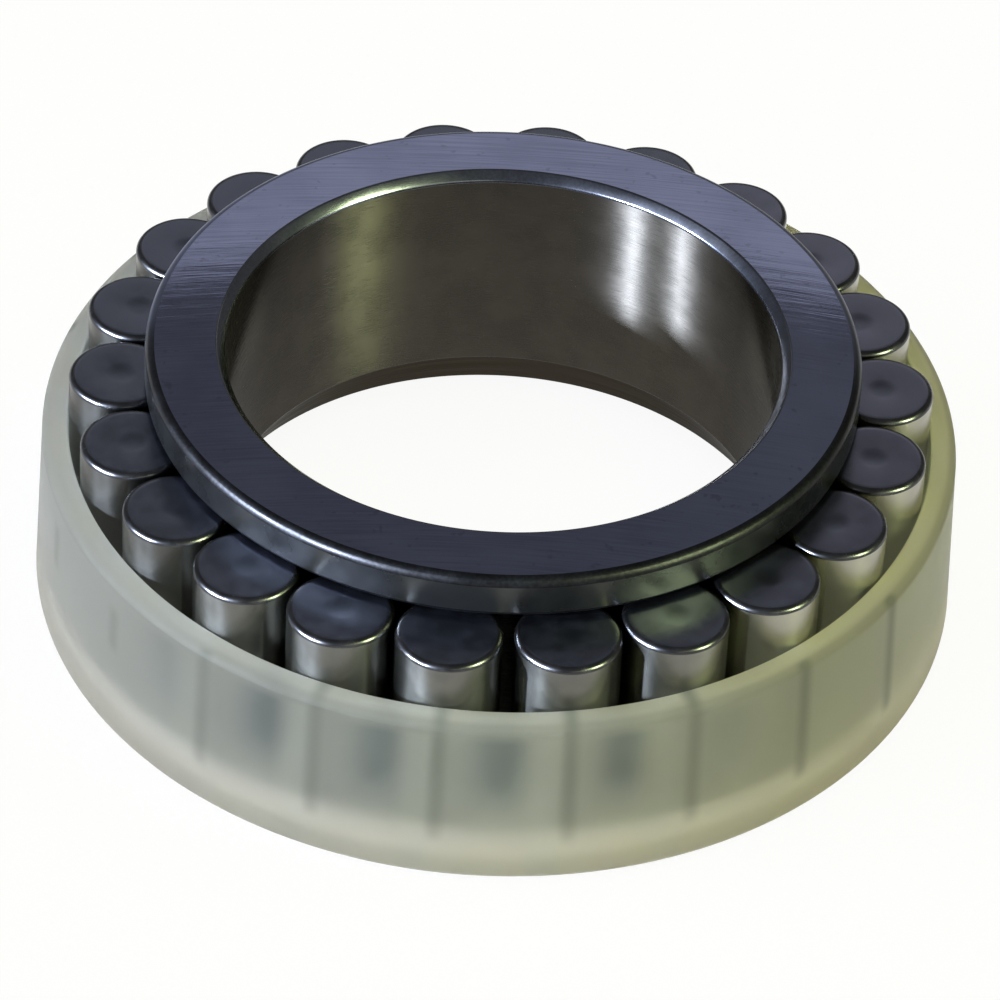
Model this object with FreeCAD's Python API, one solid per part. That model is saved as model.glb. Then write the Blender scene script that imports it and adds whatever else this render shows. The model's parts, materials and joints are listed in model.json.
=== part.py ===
import FreeCAD, Part
import math
import os

# Differential pinion bearing: one row of cylindrical rollers, as many as fit round the raceway,
# in a ribbed inner ring with no outer ring and no cage. The gear's own bore is the outer raceway
# once the bearing is fitted, so until then a moulded plastic sleeve keeps the rollers on the ring.
# Millimetres. Origin on the bearing's axis at the face it stands on, +Z up along the axis.

# Inner ring
BORE_D = 40.0
RING_WALL = 3.7             # bore to raceway
RIB_HEIGHT = 2.06           # rib above the raceway
RIB_WIDTH = 3.4             # ring face to the rib's guiding face
RIB_EDGE = 0.4              # chamfer where the rib's rim meets the ring face
RIB_GUIDE_EDGE = 0.4        # chamfer where the rib's rim meets the guiding face
RELIEF_DEPTH = 0.25         # ground relief in the corner between raceway and rib
RELIEF_WIDTH = 0.6
BORE_CHAMFER = 0.62         # upper end of the bore
LEAD_IN_RADIAL = 2.1        # lower end, cleared for the fillet at the pinion shaft's shoulder
LEAD_IN_AXIAL = 3.6

# Rollers
ROLLER_D = 7.5
ROLLER_LENGTH = 14.0
ROLLER_EDGE = 0.4           # chamfer at each end
ROLLER_GAP = 0.3            # between neighbours
ROLLER_END_PLAY = 0.2       # whole play between the two ribs
RACEWAY_FIT = 0.02          # radial running clearance on the raceway
WIDE_GAP_ANGLE = -87.0      # where the play left over round the row has collected, from +X

# Retaining sleeve
SLEEVE_FIT = 0.06           # radial clearance round the rollers
SLEEVE_WALL = 1.85          # at the rim
SLEEVE_HEIGHT = 14.0
SLEEVE_DRAFT = 2.4          # degrees, widening towards the foot
RIM_EDGE_RADIAL = 0.75      # outer edge of the rim, broken wide
RIM_EDGE_AXIAL = 0.5
RIM_INNER_EDGE = 0.15
FOOT_EDGE = 0.6
LEDGE_DEPTH = 2.2           # inward step that the rollers' lower ends stand over
LEDGE_FIT = 0.1             # axial clearance under the rollers
LEDGE_EDGE = 0.3

bore_r = BORE_D / 2
raceway_r = bore_r + RING_WALL
rib_r = raceway_r + RIB_HEIGHT
roller_r = ROLLER_D / 2
pitch_r = raceway_r + RACEWAY_FIT + roller_r
envelope_r = pitch_r + roller_r
groove_width = ROLLER_LENGTH + ROLLER_END_PLAY
ring_width = groove_width + 2 * RIB_WIDTH
roller_foot_z = RIB_WIDTH + ROLLER_END_PLAY / 2

# The row takes as many rollers as close up at ROLLER_GAP, and what is left over widens one gap.
roller_step = 2 * math.degrees(math.asin((ROLLER_D + ROLLER_GAP) / (2 * pitch_r)))
roller_count = int(360 / roller_step)
wide_step = 360 - (roller_count - 1) * roller_step


def turned(outline):
    """Solid turned about Z from corners (radius, height) listed round its section."""
    corners = [FreeCAD.Vector(r, 0, z) for r, z in outline]
    section = Part.Face(Part.makePolygon(corners + corners[:1]))
    return section.revolve(FreeCAD.Vector(0, 0, 0), FreeCAD.Vector(0, 0, 1), 360)


def inner_ring():
    """Bore, two ribs and the raceway between them, turned and ground from one blank."""
    lower_guide = RIB_WIDTH
    upper_guide = RIB_WIDTH + groove_width
    relief_r = raceway_r - RELIEF_DEPTH
    lower_rib = [
        (rib_r - RIB_EDGE, 0),
        (rib_r, RIB_EDGE),
        (rib_r, lower_guide - RIB_GUIDE_EDGE),
        (rib_r - RIB_GUIDE_EDGE, lower_guide),
    ]
    upper_rib = [
        (rib_r - RIB_GUIDE_EDGE, upper_guide),
        (rib_r, upper_guide + RIB_GUIDE_EDGE),
        (rib_r, ring_width - RIB_EDGE),
        (rib_r - RIB_EDGE, ring_width),
    ]
    raceway = [
        (relief_r, lower_guide),
        (relief_r, lower_guide + RELIEF_WIDTH),
        (raceway_r, lower_guide + RELIEF_WIDTH + RELIEF_DEPTH),
        (raceway_r, upper_guide - RELIEF_WIDTH - RELIEF_DEPTH),
        (relief_r, upper_guide - RELIEF_WIDTH),
        (relief_r, upper_guide),
    ]
    bore = [
        (bore_r + BORE_CHAMFER, ring_width),
        (bore_r, ring_width - BORE_CHAMFER),
        (bore_r, LEAD_IN_AXIAL),
        (bore_r + LEAD_IN_RADIAL, 0),
    ]
    return turned(lower_rib + raceway + upper_rib + bore)


def roller_at(angle):
    """One roller standing on the pitch circle between the ribs."""
    body = Part.makeCylinder(roller_r, ROLLER_LENGTH)
    ends = [edge for edge in body.Edges if isinstance(edge.Curve, Part.Circle)]
    body = body.makeChamfer(ROLLER_EDGE, ends)
    turn = math.radians(angle)
    body.translate(FreeCAD.Vector(pitch_r * math.cos(turn), pitch_r * math.sin(turn), roller_foot_z))
    return body


def retaining_sleeve():
    """Open moulded sleeve round the rollers, drafted outside, with a ledge inside its foot."""
    inner_r = envelope_r + SLEEVE_FIT
    rim_r = inner_r + SLEEVE_WALL
    slope = math.tan(math.radians(SLEEVE_DRAFT))
    rim_edge_z = SLEEVE_HEIGHT - RIM_EDGE_AXIAL
    ledge_r = inner_r - LEDGE_DEPTH
    ledge_z = roller_foot_z - LEDGE_FIT

    def outside(z):
        return rim_r + (rim_edge_z - z) * slope

    return turned([
        (ledge_r + LEDGE_EDGE, 0),
        (outside(0) - FOOT_EDGE, 0),
        (outside(FOOT_EDGE), FOOT_EDGE),
        (rim_r, rim_edge_z),
        (rim_r - RIM_EDGE_RADIAL, SLEEVE_HEIGHT),
        (inner_r + RIM_INNER_EDGE, SLEEVE_HEIGHT),
        (inner_r, SLEEVE_HEIGHT - RIM_INNER_EDGE),
        (inner_r, ledge_z),
        (ledge_r + LEDGE_EDGE, ledge_z),
        (ledge_r, ledge_z - LEDGE_EDGE),
        (ledge_r, LEDGE_EDGE),
    ])


def roller_angles():
    """Azimuth of each roller in turn, anticlockwise from the wide gap."""
    first = WIDE_GAP_ANGLE + wide_step / 2
    return [first + i * roller_step for i in range(roller_count)]


os.makedirs("parts", exist_ok=True)
nodes = {
    "inner_ring": inner_ring(),
    "retaining_sleeve": retaining_sleeve(),
}
for number, angle in enumerate(roller_angles(), start=1):
    nodes["roller_%02d" % number] = roller_at(angle)
for name, shape in nodes.items():
    shape.exportStep("parts/%s.step" % name)

print("rollers", roller_count, "gap angle", round(wide_step, 3), "step", round(roller_step, 4))
print("raceway", raceway_r, "rib", rib_r, "pitch", pitch_r, "over rollers", 2 * envelope_r)
print("width", ring_width)
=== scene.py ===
import json
import math

import bmesh
import bpy
from mathutils import Matrix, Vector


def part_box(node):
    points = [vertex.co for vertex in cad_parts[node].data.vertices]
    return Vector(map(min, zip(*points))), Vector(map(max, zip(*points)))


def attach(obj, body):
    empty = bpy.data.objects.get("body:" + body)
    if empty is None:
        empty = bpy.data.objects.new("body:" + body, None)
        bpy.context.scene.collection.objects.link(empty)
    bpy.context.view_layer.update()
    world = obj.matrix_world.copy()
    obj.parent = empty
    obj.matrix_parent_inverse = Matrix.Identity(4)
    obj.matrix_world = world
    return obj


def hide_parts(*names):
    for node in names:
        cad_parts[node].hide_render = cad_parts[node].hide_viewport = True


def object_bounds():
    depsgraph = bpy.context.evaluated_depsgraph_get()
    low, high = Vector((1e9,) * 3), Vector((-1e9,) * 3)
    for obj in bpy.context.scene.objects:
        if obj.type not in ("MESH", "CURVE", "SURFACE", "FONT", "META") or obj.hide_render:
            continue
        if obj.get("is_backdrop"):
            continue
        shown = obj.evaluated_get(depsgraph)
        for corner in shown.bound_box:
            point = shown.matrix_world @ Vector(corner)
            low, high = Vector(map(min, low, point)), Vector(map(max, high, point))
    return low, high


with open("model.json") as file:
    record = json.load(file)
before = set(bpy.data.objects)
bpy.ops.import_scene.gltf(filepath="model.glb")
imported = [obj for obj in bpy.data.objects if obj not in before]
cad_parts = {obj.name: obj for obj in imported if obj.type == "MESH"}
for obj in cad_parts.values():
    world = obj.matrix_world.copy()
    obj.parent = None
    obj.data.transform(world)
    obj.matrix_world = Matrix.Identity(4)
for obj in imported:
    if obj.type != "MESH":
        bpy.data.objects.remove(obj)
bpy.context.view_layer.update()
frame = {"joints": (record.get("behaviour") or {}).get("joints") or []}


# ---------------------------------------------------------------------------------------------------
# Inner ring. One blank of through-hardened bearing steel, turned with a rib at each end of the
# raceway and then ground: its faces on a wide wheel that leaves a fine curved lay, the bore and the
# ribs' rims round the axis. The lower end of the bore is only turned, wide enough to clear a fillet.

mm = 0.001

# Sizes in millimetres, heights from the face that the ring stands on.
bore_r, raceway_r, rib_r = 20.0, 23.7, 25.76
ring_width, rib_width, rib_edge = 21.0, 3.4, 0.4
relief_depth, relief_width = 0.25, 0.6
bore_chamfer, lead_in_radial, lead_in_axial = 0.62, 2.1, 3.6
relief_r = raceway_r - relief_depth
upper_guide = ring_width - rib_width

ring_section = [
    # radius, height and rounding of each corner
    (rib_r - rib_edge, 0.0, 0.12), (rib_r, rib_edge, 0.12),
    (rib_r, rib_width - rib_edge, 0.12), (rib_r - rib_edge, rib_width, 0.12),
    (relief_r, rib_width, 0), (relief_r, rib_width + relief_width, 0),
    (raceway_r, rib_width + relief_width + relief_depth, 0),
    (raceway_r, upper_guide - relief_width - relief_depth, 0),
    (relief_r, upper_guide - relief_width, 0), (relief_r, upper_guide, 0),
    (rib_r - rib_edge, upper_guide, 0.12), (rib_r, upper_guide + rib_edge, 0.12),
    (rib_r, ring_width - rib_edge, 0.26), (rib_r - rib_edge, ring_width, 0.26),
    (bore_r + bore_chamfer, ring_width, 0.10), (bore_r, ring_width - bore_chamfer, 0.14),
    (bore_r, lead_in_axial, 0.04), (bore_r + lead_in_radial, 0.0, 0.15),
]
same_place = 1e-6       # metres


def pick(piece):
    """Selects one object alone and makes it the active one."""
    bpy.ops.object.select_all(action="DESELECT")
    piece.select_set(True)
    bpy.context.view_layer.objects.active = piece


def select_only(mesh, part, test):
    """In edit mode, selects the vertices or faces for which test is true, and nothing else."""
    bpy.ops.mesh.select_all(action="DESELECT")
    edited = bmesh.from_edit_mesh(mesh)
    for item in getattr(edited, part):
        item.select_set(bool(test(item)))
    edited.select_flush_mode()
    bmesh.update_edit_mesh(mesh)


def turned(name, section):
    """Draws the section corner by corner, rounds its corners and spins it about Z."""
    bpy.ops.object.select_all(action="DESELECT")
    r, z, _ = section[0]
    bpy.ops.mesh.primitive_plane_add(size=mm, location=(r * mm, 0, z * mm))
    piece = bpy.context.active_object
    piece.name = name
    bpy.ops.object.transform_apply(location=True, rotation=True, scale=True)
    bpy.ops.object.mode_set(mode="EDIT")
    bpy.ops.mesh.select_mode(type="VERT")
    bpy.ops.mesh.select_all(action="SELECT")
    bpy.ops.mesh.merge(type="CENTER")
    for (r0, z0, _), (r1, z1, _) in zip(section, section[1:]):
        bpy.ops.mesh.extrude_region_move(
            TRANSFORM_OT_translate={"value": ((r1 - r0) * mm, 0, (z1 - z0) * mm)}
        )
    bpy.ops.mesh.select_all(action="SELECT")
    bpy.ops.mesh.edge_face_add()
    for size in sorted({rounding for _, _, rounding in section if rounding}):
        corners = [(r * mm, z * mm) for r, z, rounding in section if rounding == size]
        select_only(piece.data, "verts", lambda v: any(
            math.hypot(v.co.x - r, v.co.z - z) < same_place for r, z in corners
        ))
        bpy.ops.mesh.bevel(offset=size * mm, segments=3, affect="VERTICES")
    bpy.ops.mesh.select_all(action="SELECT")
    bpy.ops.mesh.delete(type="ONLY_FACE")
    bpy.ops.mesh.select_all(action="SELECT")
    bpy.ops.mesh.spin(steps=256, angle=2 * math.pi, center=(0, 0, 0), axis=(0, 0, 1))
    bpy.ops.mesh.select_all(action="SELECT")
    bpy.ops.mesh.remove_doubles(threshold=same_place)
    bpy.ops.mesh.normals_make_consistent(inside=False)
    bpy.ops.object.mode_set(mode="OBJECT")
    return piece


def smoothed(piece):
    """Smooth shading that keeps flat faces flat beside their small rounded edges."""
    pick(piece)
    bpy.ops.object.shade_smooth_by_angle(angle=math.radians(30))
    bpy.ops.object.modifier_add(type="WEIGHTED_NORMAL")
    piece.modifiers[-1].keep_sharp = True
    bpy.ops.object.modifier_apply(modifier=piece.modifiers[-1].name)


def finish_faces(piece, material, test=lambda face: True):
    """Gives a finish to the faces for which test is true, or to all, over any that they have."""
    pick(piece)
    piece.data.materials.append(material)
    piece.active_material_index = len(piece.data.materials) - 1
    bpy.ops.object.mode_set(mode="EDIT")
    bpy.ops.mesh.select_mode(type="FACE")
    select_only(piece.data, "faces", test)
    bpy.ops.object.material_slot_assign()
    bpy.ops.object.mode_set(mode="OBJECT")


def lies(face, radii=(0, 30), heights=(-1, 22), slope=(-1, 2)):
    """Whether a face's middle is between these radii and heights, in millimetres, and its slope, which
    is 0 on an upright wall and 1 on a level face, is between these."""
    middle = face.calc_center_median()
    return (
        radii[0] < middle.xy.length / mm < radii[1]
        and heights[0] < middle.z / mm < heights[1]
        and slope[0] < abs(face.normal.z) < slope[1]
    )


def put(socket, value):
    """Links a socket, or sets a number or colour on it."""
    if isinstance(value, bpy.types.NodeSocket):
        socket.id_data.links.new(value, socket)
    else:
        socket.default_value = value


def added(kind, *values):
    """A new node, in the node tree of the sockets among these values."""
    tree = next(value.id_data for value in values if isinstance(value, bpy.types.NodeSocket))
    return tree.nodes.new(kind)


def reckon(operation, *values):
    """One Math node."""
    node = added("ShaderNodeMath", *values)
    node.operation = operation
    for socket, value in zip(node.inputs, values):
        put(socket, value)
    return node.outputs[0]


def times(result, *others):
    """All the values multiplied together."""
    for other in others:
        result = reckon("MULTIPLY", result, other)
    return result


def plus(first, second):
    return reckon("ADD", first, second)


def distance_from_axis(x, y):
    return reckon("SQRT", plus(times(x, x), times(y, y)))


def ramp(value, start, end, low=0.0, high=1.0, interpolation="SMOOTHSTEP"):
    """Takes value from low at start to high at end, and keeps it between them beyond."""
    node = added("ShaderNodeMapRange", value)
    node.interpolation_type = interpolation
    settings = {"Value": value, "From Min": start, "From Max": end, "To Min": low, "To Max": high}
    for name, setting in settings.items():
        put(node.inputs[name], setting)
    return node.outputs["Result"]


def spread(noise, low=0.0, high=1.0):
    """Spreads a noise from low to high over its usual values."""
    return ramp(noise, 0.3, 0.7, low, high)


def tint(share, first, second):
    """Goes from the first colour to the second."""
    node = added("ShaderNodeMix", share)
    node.data_type = "RGBA"
    put(node.inputs["Factor"], share)
    for name, colour in (("A", first), ("B", second)):
        socket = next(s for s in node.inputs if s.name == name and s.type == "RGBA")
        put(socket, colour if isinstance(colour, bpy.types.NodeSocket) else (*colour, 1))
    return next(s for s in node.outputs if s.type == "RGBA")


def split(vector):
    node = added("ShaderNodeSeparateXYZ", vector)
    put(node.inputs[0], vector)
    return node.outputs


def effect(name, inputs, outputs):
    """An empty shader node group with named number or vector inputs and number outputs."""
    group = bpy.data.node_groups.new(name, "ShaderNodeTree")
    for label, kind in inputs.items():
        group.interface.new_socket(name=label, in_out="INPUT", socket_type="NodeSocket" + kind)
    for label in outputs:
        group.interface.new_socket(name=label, in_out="OUTPUT", socket_type="NodeSocketFloat")
    return group, group.nodes.new("NodeGroupInput").outputs, group.nodes.new("NodeGroupOutput").inputs


def placed(group, **values):
    """Places a node group in a material and fills its inputs."""
    node = added("ShaderNodeGroup", *values.values())
    node.node_tree = group
    for name, value in values.items():
        put(node.inputs[name], value)
    return node.outputs


# Machining lay: lines that vary quickly across and slowly along, with a coarser wave under them.
lay, given, gives = effect(
    "machining_lay",
    {"Across": "Float", "Along": "Float", "Pitch": "Float", "Run": "Float"},
    ["Fine", "Coarse"],
)
for label, wider in (("Fine", 1.0), ("Coarse", 5.0)):
    spot = lay.nodes.new("ShaderNodeCombineXYZ")
    put(spot.inputs["X"], reckon("DIVIDE", given["Across"], times(given["Pitch"], wider)))
    put(spot.inputs["Y"], reckon("DIVIDE", given["Along"], given["Run"]))
    lines = lay.nodes.new("ShaderNodeTexNoise")
    lines.inputs["Scale"].default_value = 1.0
    lines.inputs["Detail"].default_value = 3.0
    put(lines.inputs["Vector"], spot.outputs[0])
    put(gives[label], lines.outputs["Fac"])

# Clouding: the soft uneven film that handling and preserving oil leave on steel and plastic.
clouding, given, gives = effect("clouding", {"Place": "Vector", "Size": "Float"}, ["Cloud", "Speck"])
for label, finer, detail in (("Cloud", 1.0, 4.0), ("Speck", 9.0, 1.0)):
    film = clouding.nodes.new("ShaderNodeTexNoise")
    put(film.inputs["Scale"], reckon("DIVIDE", finer, given["Size"]))
    film.inputs["Detail"].default_value = detail
    put(film.inputs["Vector"], given["Place"])
    put(gives[label], film.outputs["Fac"])


def lay_round(place, radius, pitch, run):
    """Machining lay that runs round the axis. All lengths are in metres."""
    x, y, z = split(place)
    along = times(reckon("ARCTAN2", y, x), radius)
    return placed(lay, Across=z, Along=along, Pitch=pitch, Run=run)


def finish(name, metallic, **constants):
    """A material, its shader's sockets with the constant values set, and the piece's own coordinates."""
    material = bpy.data.materials.new(name)
    material.use_nodes = True
    nodes = material.node_tree.nodes
    skin = nodes["Principled BSDF"].inputs
    skin["Metallic"].default_value = metallic
    for label, value in constants.items():
        skin[label.replace("_", " ")].default_value = value
    return material, skin, nodes.new("ShaderNodeTexCoord").outputs["Object"]


def dress(skin, colour, roughness):
    put(skin["Base Color"], colour)
    put(skin["Roughness"], roughness)


def relief(skin, height, depth):
    """Bump of a true depth in metres."""
    bump = added("ShaderNodeBump", height)
    bump.inputs["Distance"].default_value = depth
    put(bump.inputs["Height"], height)
    put(skin["Normal"], bump.outputs[0])


def drawn_round(skin, direction="RADIAL"):
    """The finish runs round the axis, so light is drawn out along it."""
    tangent = added("ShaderNodeTangent", skin["Tangent"])
    tangent.direction_type = direction
    tangent.axis = "Z"
    put(skin["Tangent"], tangent.outputs[0])


# Both faces: slate-coloured ground steel. The wheel is far wider than the ring, so its lines are
# shallow arcs about a point well in front of it. The steel is painted a little paler at the front
# right, a painted reflection.
face_steel, skin, place = finish("ring_face_ground_steel", 1.0)
dark_slate, light_slate = (0.140, 0.153, 0.230), (0.193, 0.209, 0.308)
sheen_slate, stain = (0.32, 0.355, 0.50), (0.085, 0.093, 0.135)
wheel_in_front, wheel_r = 130 * mm, 150 * mm
x, y, _ = split(place)
wheel_y = plus(y, wheel_in_front)
sweep = times(reckon("ARCTAN2", x, wheel_y), wheel_r)
fine, coarse = placed(
    lay, Across=distance_from_axis(x, wheel_y), Along=sweep, Pitch=0.12 * mm, Run=9 * mm
)
cloud, speck = placed(clouding, Place=place, Size=6 * mm)
shade = plus(times(fine, 0.6), times(cloud, 0.4))
ground = tint(ramp(shade, 0.35, 0.65), dark_slate, light_slate)
# Painted reflection: the face is painted paler towards the front right.
painted_sheen_front_right = times(ramp(x, 4 * mm, 22 * mm), ramp(y, 10 * mm, -4 * mm))
ground = tint(times(painted_sheen_front_right, 0.3), ground, sheen_slate)
stained = ramp(speck, 0.69, 0.75, 0.0, 0.35)
dress(skin, tint(stained, ground, stain), spread(cloud, 0.035, 0.06))
relief(skin, plus(times(fine, 0.35), coarse), 0.003 * mm)

# Bore: ground round the axis, a dull brown-grey that draws lamps out into upright streaks.
bore_steel, skin, place = finish(
    "ring_bore_ground_steel", 1.0,
    Anisotropic=1.0, Anisotropic_Rotation=0.25, Specular_Tint=(0.6, 0.6, 0.6, 1),
)
dark_brown, light_brown, sheen_brown = (0.053, 0.048, 0.040), (0.067, 0.060, 0.050), (0.20, 0.19, 0.15)
x, _, z = split(place)
fine, coarse = lay_round(place, bore_r * mm, pitch=0.09 * mm, run=1.6 * mm)
cloud, _ = placed(clouding, Place=place, Size=3 * mm)
ground = tint(spread(cloud), dark_brown, light_brown)
# Painted reflection: near the top at both sides the bore is painted paler.
painted_sheen_upper_sides = times(ramp(reckon("ABSOLUTE", x), 17.2 * mm, 19.0 * mm), ramp(z, 10 * mm, 16 * mm))
mottled = plus(times(fine, 0.6), times(cloud, 0.4))
dress(skin, tint(times(painted_sheen_upper_sides, 0.5), ground, sheen_brown), spread(mottled, 0.26, 0.30))
relief(skin, plus(fine, times(coarse, 0.6)), 0.004 * mm)
drawn_round(skin)

# Rims of the ribs: ground round the axis and a little brighter.
rib_steel, skin, place = finish("ring_rib_ground_steel", 1.0)
dark_grey, light_grey = (0.054, 0.055, 0.052), (0.073, 0.074, 0.070)
fine, _ = lay_round(place, 25 * mm, pitch=0.12 * mm, run=5 * mm)
cloud, _ = placed(clouding, Place=place, Size=4 * mm)
dress(skin, tint(spread(cloud), dark_grey, light_grey), spread(cloud, 0.26, 0.30))
relief(skin, fine, 0.0005 * mm)

# Broken edges of the ribs: the same steel, tumbled duller, and painted paler towards the back, a
# painted reflection.
edge_of_ring, skin, place = finish("ring_edge_steel", 1.0)
near_black, dark_grey, sheen_slate = (0.0115, 0.0115, 0.012), (0.017, 0.017, 0.018), (0.10, 0.105, 0.14)
_, y, _ = split(place)
cloud, speck = placed(clouding, Place=place, Size=2 * mm)
tumbled = tint(spread(speck), near_black, dark_grey)
# Painted reflection: the edges are painted paler towards the back.
dress(skin, tint(ramp(y, -4 * mm, 8 * mm), tumbled, sheen_slate), spread(cloud, 0.35, 0.43))

# Raceway and the reliefs beside it: painted near black, a painted shade of the deep gaps between
# the rollers.
raceway_steel, skin, place = finish("ring_raceway_ground_steel", 1.0)
gap_shade_black, gap_shade_grey = (0.010, 0.010, 0.009), (0.016, 0.016, 0.015)
fine, _ = lay_round(place, 25 * mm, pitch=0.08 * mm, run=4 * mm)
dress(skin, tint(fine, gap_shade_black, gap_shade_grey), spread(fine, 0.24, 0.32))
relief(skin, fine, 0.0003 * mm)

# Chamfer at the bore's upper end: dark and smooth, it takes only a thin line of light.
chamfer_steel, skin, place = finish("ring_chamfer_steel", 1.0)
lit_left_grey, shaded_right_grey, dark_grey = (0.130, 0.136, 0.156), (0.095, 0.101, 0.120), (0.030, 0.031, 0.034)
x, _, _ = split(place)
cloud, speck = placed(clouding, Place=place, Size=2 * mm)
# Painted shade: the chamfer is painted darker towards the right than at the left.
ground = tint(ramp(x, -9 * mm, 9 * mm), lit_left_grey, shaded_right_grey)
dress(skin, tint(spread(speck, 0.0, 0.25), ground, dark_grey), spread(cloud, 0.19, 0.23))

# Lead-in at the bore's lower end: turned only, darker and coarser.
turned_steel, skin, place = finish("ring_turned_steel", 1.0, Specular_Tint=(0.35, 0.35, 0.35, 1))
dark_brown, light_brown = (0.060, 0.053, 0.043), (0.080, 0.071, 0.058)
fine, _ = lay_round(place, bore_r * mm, pitch=0.2 * mm, run=14 * mm)
dress(skin, tint(fine, dark_brown, light_brown), spread(fine, 0.32, 0.5))
relief(skin, fine, 0.01 * mm)

# Each finish goes to the faces within its bounds, which pass between the corners of the section. A
# later finish takes faces over from an earlier one.
ring = turned("inner_ring_ground", ring_section)
finish_faces(ring, rib_steel)
finish_faces(ring, edge_of_ring, lambda f: lies(f, radii=(25, 30), slope=(0.02, 0.99)))
finish_faces(ring, raceway_steel, lambda f: lies(f, radii=(23.3, 25.3), heights=(3.3, 17.7)))
finish_faces(ring, face_steel, lambda f: lies(f, slope=(0.99, 2)) and not lies(f, heights=(0.01, 20.9)))
finish_faces(ring, bore_steel, lambda f: lies(f, radii=(0, 20.01)))
finish_faces(ring, chamfer_steel, lambda f: lies(f, radii=(0, 20.75), heights=(20.2, 22), slope=(0.02, 0.98)))
finish_faces(ring, turned_steel, lambda f: lies(f, radii=(0, 22.1), heights=(-1, 3.55), slope=(0.1, 0.95)))
smoothed(ring)
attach(ring, "ring")
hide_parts("inner_ring")


# ---------------------------------------------------------------------------------------------------
# Rollers. Twenty-two hardened steel cylinders, cold-headed, ground and superfinished round their
# sides to a clean polish. Their ends are ground flat and slate-coloured, with the shallow dimple of
# the heading tool in the middle, and their edges are chamfered. They stand loose round the raceway.

roller_r, roller_length, roller_edge = 3.75, 14.0, 0.4      # millimetres
end_form = [
    # radius and depth of each step towards the middle of an end, in millimetres
    (3.1, 0.0), (1.25, 0.0), (0.95, 0.012), (0.55, 0.035), (0.2, 0.045),
]


def from_own_axis(place):
    """A roller's coordinates about its own middle, kept from before it was set in the row."""
    own = added("ShaderNodeAttribute", place)
    own.attribute_name = "from_own_axis"
    return own.outputs["Vector"]


# Sides: polished, with hardly any lay left and slightly dulled by handling. They are darker near the
# upper end and painted paler below it, a painted reflection of the sleeve's lit wall. The rollers at
# the left of the row are painted darker and those at the right paler, a painted shade and a painted
# reflection.
side_steel, skin, place = finish(
    "roller_side_polished_steel", 1.0, Anisotropic=0.8, Anisotropic_Rotation=0.25,
)
dark_top_tone, light_top_tone = (0.148, 0.146, 0.132), (0.178, 0.176, 0.158)
dark_glow_sheen, light_glow_sheen = (0.178, 0.175, 0.154), (0.206, 0.203, 0.178)
shaded_left_steel, sheen_right_steel = (0.062, 0.060, 0.055), (0.47, 0.455, 0.37)
own = from_own_axis(place)
_, _, along_roller = split(own)
across_row, _, _ = split(place)
fine, _ = lay_round(own, roller_r * mm, pitch=0.15 * mm, run=3 * mm)
cloud, _ = placed(clouding, Place=place, Size=2.5 * mm)
top_tone = tint(spread(cloud), dark_top_tone, light_top_tone)
glow_sheen = tint(spread(cloud), dark_glow_sheen, light_glow_sheen)
# Painted reflection: below the upper end the sides are painted paler.
polish = tint(ramp(along_roller, 6.4 * mm, 3.4 * mm), top_tone, glow_sheen)
# Painted shade and reflection: rollers at the left of the row painted darker, at the right paler.
polish = tint(ramp(across_row, -16 * mm, -26 * mm, 0.0, 0.7), polish, shaded_left_steel)
polish = tint(ramp(across_row, 11 * mm, 22 * mm, 0.0, 0.65), polish, sheen_right_steel)
dress(skin, polish, spread(cloud, 0.22, 0.24))
relief(skin, fine, 0.0006 * mm)
drawn_round(skin, "UV_MAP")

# Ends: ground on a slant, unevenly clouded, with a darker dimple. Those at the right of the row are
# painted paler, a painted reflection.
end_steel, skin, place = finish("roller_end_ground_steel", 1.0)
dark_slate, light_slate = (0.098, 0.104, 0.132), (0.111, 0.118, 0.149)
sheen_right_slate, dimple_slate = (0.205, 0.205, 0.265), (0.066, 0.072, 0.090)
x, y, _ = split(from_own_axis(place))
across_row, _, _ = split(place)
fine, _ = placed(lay, Across=plus(y, times(x, 0.4)), Along=x, Pitch=0.1 * mm, Run=3 * mm)
cloud, _ = placed(clouding, Place=place, Size=1.6 * mm)
shade = plus(times(fine, 0.25), times(cloud, 0.75))
ground = tint(ramp(shade, 0.35, 0.65), dark_slate, light_slate)
# Painted reflection: ends at the right of the row are painted paler.
ground = tint(ramp(across_row, 5 * mm, 24 * mm, 0.0, 0.3), ground, sheen_right_slate)
in_dimple = ramp(distance_from_axis(x, y), 1.3 * mm, 0.5 * mm, 0.0, 0.6)
dress(skin, tint(in_dimple, ground, dimple_slate), spread(cloud, 0.21, 0.27))
relief(skin, shade, 0.0008 * mm)

# Chamfers: smooth, so that they catch the lamps in a bright line.
edge_steel, skin, place = finish("roller_edge_bright_steel", 1.0)
dark_grey, light_grey = (0.052, 0.052, 0.054), (0.072, 0.072, 0.075)
cloud, _ = placed(clouding, Place=place, Size=1.2 * mm)
dress(skin, tint(ramp(cloud, 0.35, 0.65), dark_grey, light_grey), spread(cloud, 0.24, 0.28))

bpy.ops.object.select_all(action="DESELECT")
bpy.ops.mesh.primitive_cylinder_add(
    vertices=96, radius=roller_r * mm, depth=roller_length * mm, location=(0, 0, 0)
)
pattern = bpy.context.active_object
bpy.ops.object.mode_set(mode="EDIT")
bpy.ops.mesh.select_mode(type="FACE")
select_only(pattern.data, "faces", lambda f: abs(f.normal.z) > 0.9)
bpy.ops.mesh.bevel(offset=roller_edge * mm, segments=5, affect="EDGES")
for end in (1, -1):
    select_only(pattern.data, "faces", lambda f: f.normal.z * end > 0.999)
    radius, depth = roller_r - roller_edge, 0.0
    for next_radius, next_depth in end_form:
        bpy.ops.mesh.inset(thickness=(radius - next_radius) * mm, depth=0)
        bpy.ops.transform.translate(value=(0, 0, -end * (next_depth - depth) * mm))
        radius, depth = next_radius, next_depth
    bpy.ops.mesh.poke()
bpy.ops.object.mode_set(mode="OBJECT")
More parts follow.
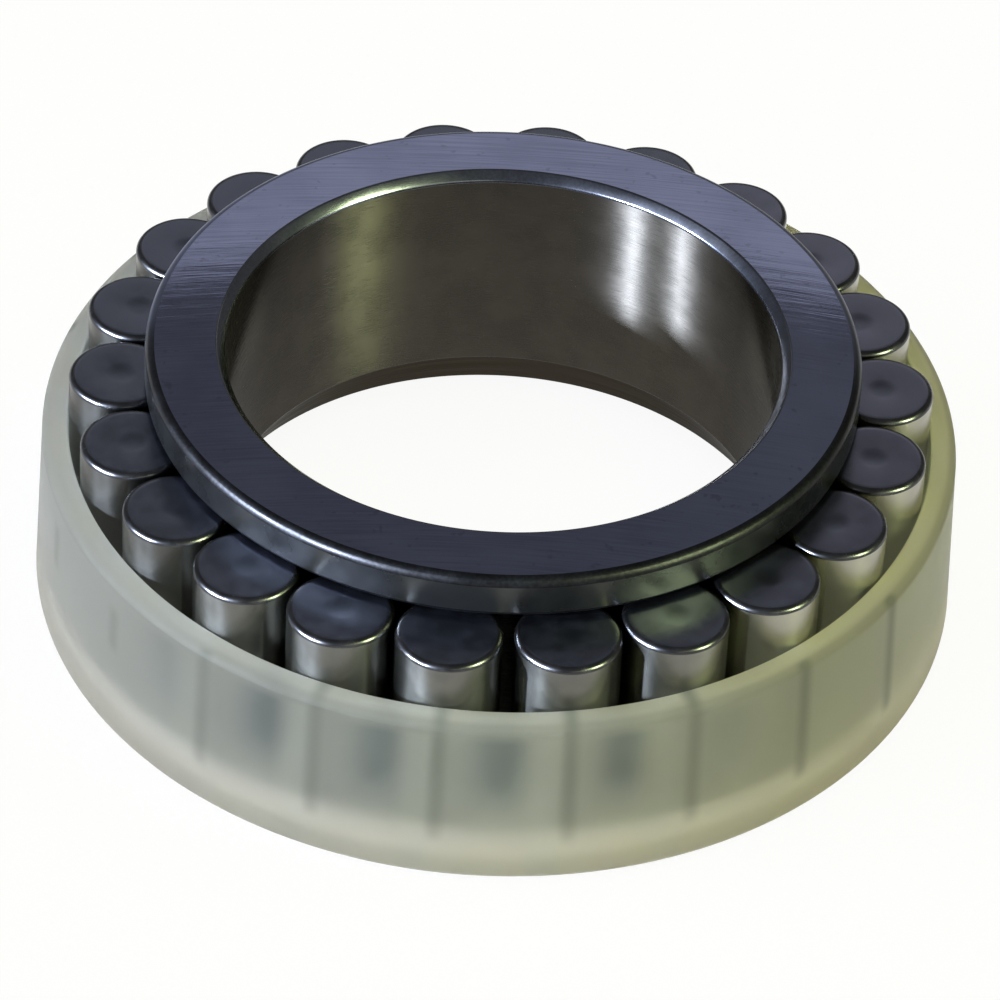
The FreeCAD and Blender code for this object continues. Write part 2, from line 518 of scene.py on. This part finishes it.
edge_starts = roller_length / 2 - roller_edge - 0.03
finish_faces(pattern, side_steel)
finish_faces(pattern, edge_steel, lambda f: not lies(f, heights=(-edge_starts, edge_starts)))
finish_faces(pattern, end_steel, lambda f: f.calc_center_median().xy.length < (roller_r - roller_edge) * mm)
smoothed(pattern)
own_place = pattern.data.attributes.new("from_own_axis", "FLOAT_VECTOR", "POINT")
for vertex, stored in zip(pattern.data.vertices, own_place.data):
    stored.vector = vertex.co

unlike = 3.7        # turns each roller further than its place in the row, so no two show the same lay
for joint in frame["joints"]:
    if not joint["name"].startswith("roller_"):
        continue
    body = joint["child"]
    roller = bpy.data.objects.new(body + "_ground", pattern.data.copy())
    bpy.context.scene.collection.objects.link(roller)
    low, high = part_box(body)
    centre = (low + high) / 2
    turn = math.atan2(centre.y, centre.x) * unlike
    roller.data.transform(Matrix.Translation(centre) @ Matrix.Rotation(turn, 4, "Z"))
    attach(roller, body)
    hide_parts(body)
bpy.data.objects.remove(pattern)


# ---------------------------------------------------------------------------------------------------
# Retaining sleeve. An open tub of milky polypropylene, moulded in one piece, that only holds the
# rollers on until the bearing is fitted. The rollers stand over a ledge inside its foot. Where one
# touches the wall its line is painted dark, a painted shade of the roller seen through the plastic,
# and the hollows between them are painted as soft shadows.

ledge_r, wall_r, rim_r, foot_r = 29.08, 31.28, 33.13, 33.671        # millimetres
sleeve_height, ledge_height = 14.0, 3.4
sleeve_section = [
    # radius, height and rounding of each corner
    (ledge_r + 0.3, 0.0, 0.10), (foot_r - 0.575, 0.0, 0.22), (foot_r, 0.6, 0.25),
    (rim_r, sleeve_height - 0.5, 0.25), (rim_r - 0.75, sleeve_height, 0.25),
    (wall_r + 0.15, sleeve_height, 0.06), (wall_r, sleeve_height - 0.15, 0.06),
    (wall_r, ledge_height, 0), (ledge_r + 0.3, ledge_height, 0.10),
    (ledge_r, ledge_height - 0.3, 0.10), (ledge_r, 0.3, 0.10),
]
first_roller, roller_step, roller_count = -78.4025, 16.3241, 22     # degrees

plastic, skin, place = finish(
    "sleeve_milky_polypropylene", 0.0,
    IOR=1.5, Transmission_Weight=0.5, Specular_IOR_Level=0.2, Specular_Tint=(0.1, 0.1, 0.1, 1),
)
x, y, z = split(place)
height = times(z, 1 / mm)
azimuth = reckon("DEGREES", reckon("ARCTAN2", y, x))
cloud, speck = placed(clouding, Place=place, Size=7 * mm)

# Place along the row, a whole number at each roller's line. The marks lie on the inner wall and are
# seen through it, a little nearer the front and the back.
doubled = reckon("RADIANS", times(azimuth, 2.0))
seen_at = reckon("SUBTRACT", azimuth, times(reckon("SINE", doubled), 2.2))
past_first = reckon("FLOORED_MODULO", reckon("SUBTRACT", seen_at, first_roller), 360.0)
row_end = (roller_count - 1) * roller_step
along_row = plus(
    ramp(past_first, 0.0, row_end, 0.0, roller_count - 1.0, interpolation="LINEAR"),
    ramp(past_first, row_end, 360.0, interpolation="LINEAR"),
)
past_line = reckon("FRACT", along_row)
off_line = reckon("ABSOLUTE", reckon("SUBTRACT", along_row, reckon("ROUND", along_row)))

# Contact lines: painted dark, a painted shade of each roller seen through the milky wall where it
# touches. They are firmer to the right of the front, gone where the rollers stand clear of the wall
# at the right, short at the left, and over the rim at the front.
clear = times(ramp(azimuth, -29.0, -20.0), ramp(azimuth, 60.0, 20.0))
pressed = times(ramp(azimuth, -75.0, -30.0, 0.6, 1.1), reckon("SUBTRACT", 1.0, clear))
over_rim = times(ramp(azimuth, -118.0, -112.0), ramp(azimuth, -56.0, -62.0))
long_line = times(ramp(height, 3.0, 4.4), reckon("MAXIMUM", over_rim, ramp(height, 13.95, 13.6)))
short_line = times(ramp(height, 7.3, 8.6), ramp(height, 12.2, 10.8))
contact_shade = times(ramp(off_line, 0.105, 0.0), ramp(azimuth, -132.0, -138.0, long_line, short_line), pressed)
contact_shade = times(contact_shade, ramp(height, 13.3, 13.8, 0.85, 1.5))

# Hollows between the rollers: a soft shadow and a pale glow beside it, where the wall is seen face on.
face_on = ramp(reckon("ABSOLUTE", reckon("SINE", reckon("RADIANS", plus(azimuth, 7.0)))), 0.70, 0.97)
slant = times(reckon("SINE", plus(doubled, math.radians(174))), 0.103)
in_hollow = plus(past_line, slant)
shadow = times(ramp(in_hollow, 0.10, 0.50), ramp(in_hollow, 0.78, 0.50))
shadow = times(shadow, ramp(height, 4.5, 9.5), ramp(height, 13.4, 12.4), face_on)
glow = times(ramp(past_line, 0.62, 0.82), ramp(past_line, 0.97, 0.88), ramp(height, 13.4, 12.6), face_on)

# The plastic itself: solid and pale at the foot, and greyer on the wall, a painted shade of the
# rollers standing behind it. Wall and foot are painted warmer at the right than at the left, and
# the rim paler and warmer at the right, painted light of the warm window on that side. The rim's
# outer edge is darker except at the far left.
painted_light_to_left = ramp(x, 14 * mm, -14 * mm)
wall_shaded_by_rollers = tint(painted_light_to_left, (0.525, 0.525, 0.45), (0.475, 0.475, 0.435))
foot = tint(painted_light_to_left, (0.705, 0.665, 0.55), (0.70, 0.668, 0.585))
# Painted light: the rim is painted paler and warmer towards the right.
rim_tone_and_sheen = tint(ramp(x, 24 * mm, 4 * mm), (0.63, 0.61, 0.49), (0.455, 0.445, 0.40))
milky = tint(ramp(height, 1.8, 5.4), foot, wall_shaded_by_rollers)
milky = tint(ramp(height, 13.45, 13.9), milky, rim_tone_and_sheen)
rim_edge = times(ramp(height, 13.2, 13.5), ramp(height, 13.98, 13.75), ramp(x, -26 * mm, -10 * mm, 0.0, 0.4))
for share, colour in (
    (rim_edge, (0.25, 0.25, 0.21)),
    (times(shadow, 0.76), (0.20, 0.235, 0.24)),
    (times(glow, 0.45), (0.62, 0.62, 0.55)),
    (contact_shade, (0.25, 0.255, 0.22)),
    (spread(cloud, 0.0, 0.12), (0.68, 0.675, 0.58)),
):
    milky = tint(share, milky, colour)
duller_rim = ramp(height, 13.0, 13.3, 0.0, 0.2)
dress(skin, milky, plus(spread(cloud, 0.38, 0.48), duller_rim))
relief(skin, plus(cloud, times(speck, 0.3)), 0.015 * mm)

sleeve = turned("retaining_sleeve_moulded", sleeve_section)
finish_faces(sleeve, plastic)
smoothed(sleeve)
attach(sleeve, "sleeve")
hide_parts("retaining_sleeve")


# ---------------------------------------------------------------------------------------------------
# Studio. A wide pale floor, soft overhead light, two upright strip lamps on the left, a broad warm
# window on the right and a low pale card behind, and the camera above the front of the bearing.

# The floor shows white to the camera, in steel and through plastic, and keeps the bearing's shadow.
floor_material = bpy.data.materials.new("pale_floor")
floor_material.use_nodes = True
floor_grey, shadow_grey, white_glow = 0.8, 0.11, 0.92
nodes = floor_material.node_tree.nodes
nodes.clear()
seen = nodes.new("ShaderNodeLightPath").outputs
mirrored = reckon("MAXIMUM", seen["Is Glossy Ray"], seen["Is Transmission Ray"])
showing = reckon("MAXIMUM", seen["Is Camera Ray"], mirrored)
lit = nodes.new("ShaderNodeBsdfDiffuse")
lit.inputs["Color"].default_value = (floor_grey, floor_grey, floor_grey, 1)
shadowed = nodes.new("ShaderNodeBsdfDiffuse")
shadowed.inputs["Color"].default_value = (shadow_grey, shadow_grey, shadow_grey, 1)
white = nodes.new("ShaderNodeEmission")
white.inputs["Strength"].default_value = white_glow
together = nodes.new("ShaderNodeAddShader")
put(together.inputs[0], shadowed.outputs[0])
put(together.inputs[1], white.outputs[0])
choice = nodes.new("ShaderNodeMixShader")
for socket, value in zip(choice.inputs, (showing, lit.outputs[0], together.outputs[0])):
    put(socket, value)
put(nodes.new("ShaderNodeOutputMaterial").inputs["Surface"], choice.outputs[0])

floor_size, just_below = 40, -0.02 * mm
bpy.ops.object.select_all(action="DESELECT")
bpy.ops.mesh.primitive_plane_add(size=floor_size, location=(0, 0, just_below))
floor = bpy.context.active_object
floor.name = "floor"
floor.data.materials.append(floor_material)
floor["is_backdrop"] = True

world = bpy.data.worlds.new("studio")
bpy.context.scene.world = world
world.use_nodes = True
nodes = world.node_tree.nodes
to_camera = nodes.new("ShaderNodeLightPath").outputs["Is Camera Ray"]
put(nodes["Background"].inputs["Color"], tint(to_camera, (0.20, 0.20, 0.205), (1, 1, 1)))


aim_height = 10 * mm        # the lamps and the camera are aimed at this point on the axis


def softbox(name, azimuth, elevation, distance, width, tall, colour, radiance, hidden=()):
    """An area lamp aimed at the bearing. Azimuth is from +X, anticlockwise, in degrees, and lengths
    are in metres. Rays of the hidden kinds pass it by, and so do the camera's."""
    a, e = math.radians(azimuth), math.radians(elevation)
    out, up = distance * math.cos(e), distance * math.sin(e)
    bpy.ops.object.light_add(
        type="AREA",
        location=(out * math.cos(a), out * math.sin(a), up + aim_height),
        rotation=(math.pi / 2 - e, 0, a + math.pi / 2),
    )
    lamp = bpy.context.active_object
    lamp.name = name
    lamp.data.shape = "RECTANGLE"
    lamp.data.size, lamp.data.size_y = width, tall
    lamp.data.color = colour
    lamp.data.energy = radiance * width * tall * math.pi
    for kind in ("camera", *hidden):
        setattr(lamp, "visible_" + kind, False)
    return lamp


# name, azimuth, elevation, distance, width, height, colour, radiance and the rays that pass it by
softbox("ceiling_left", 200, 62, 0.8, 0.9, 0.9, (0.86, 0.88, 1.0), 0.8, ["glossy"])
softbox("ceiling_right", -10, 62, 0.8, 0.9, 0.9, (1.0, 0.98, 0.08), 0.85, ["glossy"])
for name, azimuth in (("strip_left_back", 200), ("strip_left_front", 221.5)):
    softbox(name, azimuth, 16.5, 0.7, 0.016, 0.04, (0.67, 0.78, 1.0), 19500, ["diffuse", "transmission"])
softbox("glow_left", 205, 35, 0.8, 0.9, 0.42, (0.89, 0.91, 1.0), 0.95)
softbox("window_right", -29, 26, 0.7, 0.18, 0.30, (0.84, 1.0, 0.50), 54.0, ["diffuse"])
softbox("window_right_side", -37, 28, 0.7, 0.16, 0.32, (0.90, 1.0, 0.58), 10.0, ["diffuse"])
softbox("fill_front", -60, 22, 0.8, 0.6, 0.3, (1.0, 1.0, 0.85), 1.2, ["diffuse"])
card = softbox("card_behind", 90, 0, 0.25, 0.30, 0.05, (0.95, 0.95, 1.0), 0.68)
card.location = (0, 0.25, 0.1873)
card.rotation_euler = (-math.pi / 2, 0.03, 0)

tilt, roll, distance = math.radians(40.416), math.radians(3.151), 0.4376
to_right, upward = 0.139 * mm, -2.81 * mm
bpy.ops.object.camera_add()
camera = bpy.context.active_object
camera.data.lens, camera.data.sensor_width = 216, 36
camera.matrix_world = (
    Matrix.Translation((0, 0, aim_height))
    @ Matrix.Rotation(math.pi / 2 - tilt, 4, "X")
    @ Matrix.Rotation(roll, 4, "Z")
    @ Matrix.Translation((to_right, upward, distance))
)
bpy.context.scene.camera = camera
bpy.context.scene.view_settings.view_transform = "Standard"

low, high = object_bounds()
